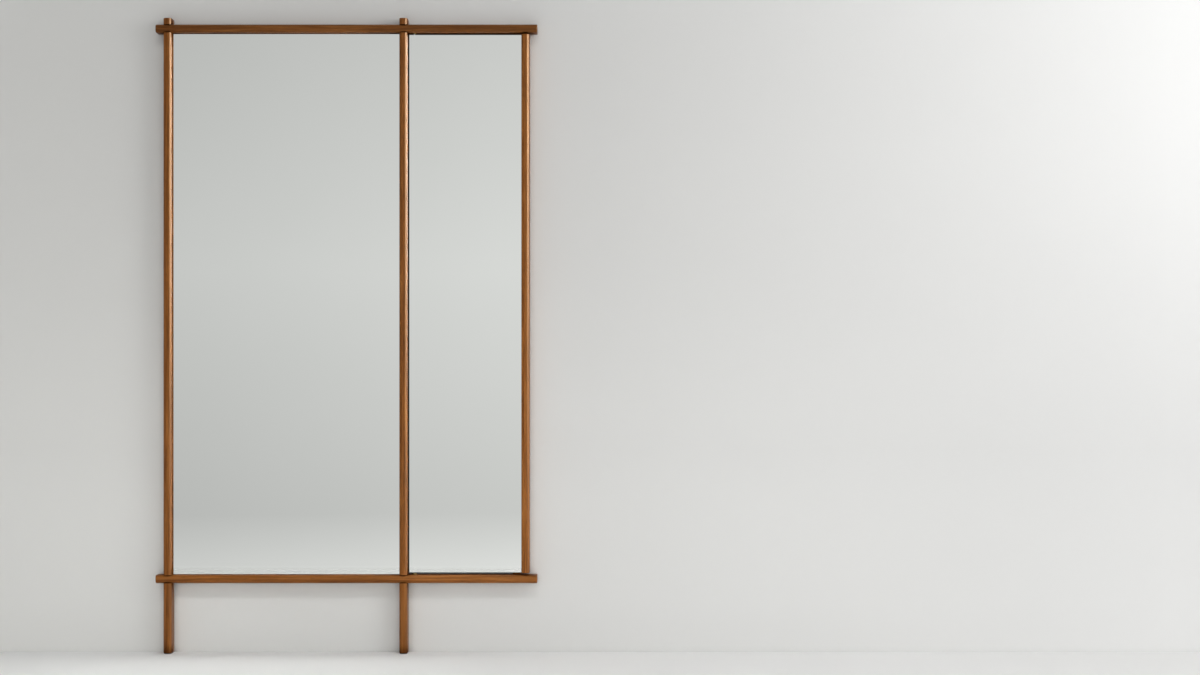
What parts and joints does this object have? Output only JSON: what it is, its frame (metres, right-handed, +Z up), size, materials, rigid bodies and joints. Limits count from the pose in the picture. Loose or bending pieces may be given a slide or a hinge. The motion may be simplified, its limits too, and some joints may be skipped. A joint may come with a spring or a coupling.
{
  "type": "shutter mirror",
  "caption": "Tall standing wall mirror in a slim wooden bar frame on two legs, with a fixed mirror and a narrow mirrored wing that swings forward on pivots.",
  "frame": {"origin": "floor level under the centre of the overall width and depth", "axes": "+X to the right as seen from the front, +Y from the front to the wall, +Z up; the mirrors face -Y"},
  "size_m": [1.2, 0.048, 2],
  "materials": {
    "oiled_wood": "oiled, satin",
    "mirror_glass": "silvered float glass with ground edges",
    "backing_board": "sanded fibreboard",
    "zinc_steel": "zinc plated",
    "brass": "turned",
    "magnet_nickel": "nickel plated",
    "felt": "pressed wool felt",
    "nylon": "natural nylon"
  },
  "bodies": {
    "frame": {"left_post": "oiled_wood", "middle_post": "oiled_wood", "rear_post": "oiled_wood", "top_rail": "oiled_wood", "bottom_rail": "oiled_wood", "fixed_mirror_glass": "mirror_glass", "fixed_backing_board": "backing_board", "left_batten": "oiled_wood", "right_batten": "oiled_wood", "top_batten": "oiled_wood", "bottom_batten": "oiled_wood", "batten_screws": "zinc_steel", "joint_screws": "zinc_steel", "left_foot_pad": "felt", "middle_foot_pad": "felt", "left_keyhole_plate": "zinc_steel", "right_keyhole_plate": "zinc_steel", "plate_screws": "zinc_steel", "upper_pivot_bush": "brass", "lower_pivot_bush": "brass", "felt_bumpers": "felt", "catch_magnets": "magnet_nickel"},
    "wing": {"wing_stile": "oiled_wood", "wing_mirror_glass": "mirror_glass", "wing_hinge_stile": "oiled_wood", "wing_inner_stile": "oiled_wood", "wing_top_rail": "oiled_wood", "wing_bottom_rail": "oiled_wood", "wing_back_panel": "oiled_wood", "upper_pivot_pin": "zinc_steel", "lower_pivot_pin": "zinc_steel", "thrust_washer": "nylon", "catch_strikes": "zinc_steel"}
  },
  "joints": [
    {"name": "wing_swing", "type": "hinge", "parent": "frame", "child": "wing", "pos_m": [0.211, 0.007, 0], "axis": [0, 0, -1], "range_deg": [0, 100]}
  ]
}
